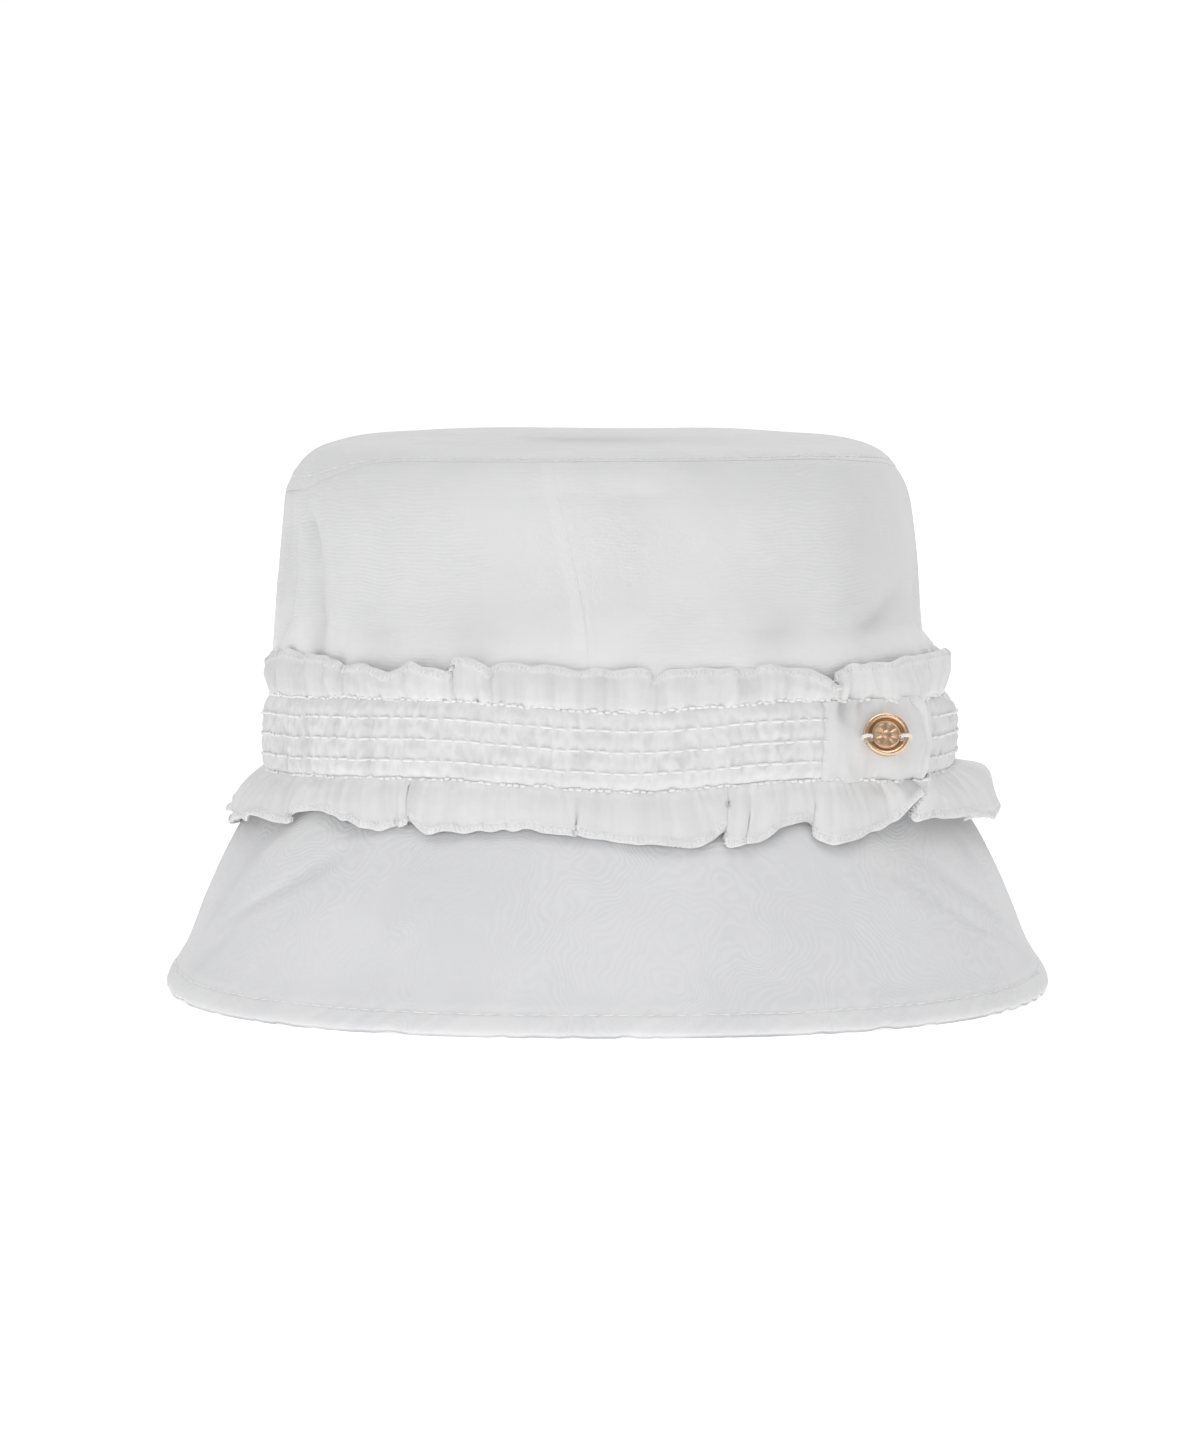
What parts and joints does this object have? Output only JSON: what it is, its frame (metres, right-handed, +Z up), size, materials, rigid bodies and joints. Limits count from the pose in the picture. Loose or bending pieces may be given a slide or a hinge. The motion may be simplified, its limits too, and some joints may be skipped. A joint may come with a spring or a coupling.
{
  "type": "ruffled bucket hat",
  "caption": "Child's sun hat of thin white cotton: oval crown, bell-shaped brim, and a shirred strip with a ruffle above and below, closed by a plain tab with a metal button.",
  "frame": {"origin": "on the surface the hat rests on, under the middle of the rim", "axes": "+Z up through the crown, -Y towards the front of the hat, +X towards the button"},
  "size_m": [0.2176, 0.2404, 0.134],
  "materials": {
    "white_voile": "thin plain-woven cotton, two layers, soft and dull with a faint watered grain",
    "gathered_voile": "the same cotton gathered into small pleats, with stitched rows and overlocked edges",
    "white_thread": "white sewing thread, slightly glossy",
    "pale_gold": "polished pale rose-gold plating on a cast button"
  },
  "bodies": {
    "root": {"crown_tip": "white_voile", "crown_side_left": "white_voile", "crown_side_right": "white_voile", "brim": "white_voile", "shirred_band": "gathered_voile", "band_tab": "gathered_voile", "upper_ruffle": "gathered_voile", "lower_ruffle": "gathered_voile", "button": "pale_gold", "button_stitch_left": "white_thread", "button_stitch_right": "white_thread"}
  },
  "joints": []
}
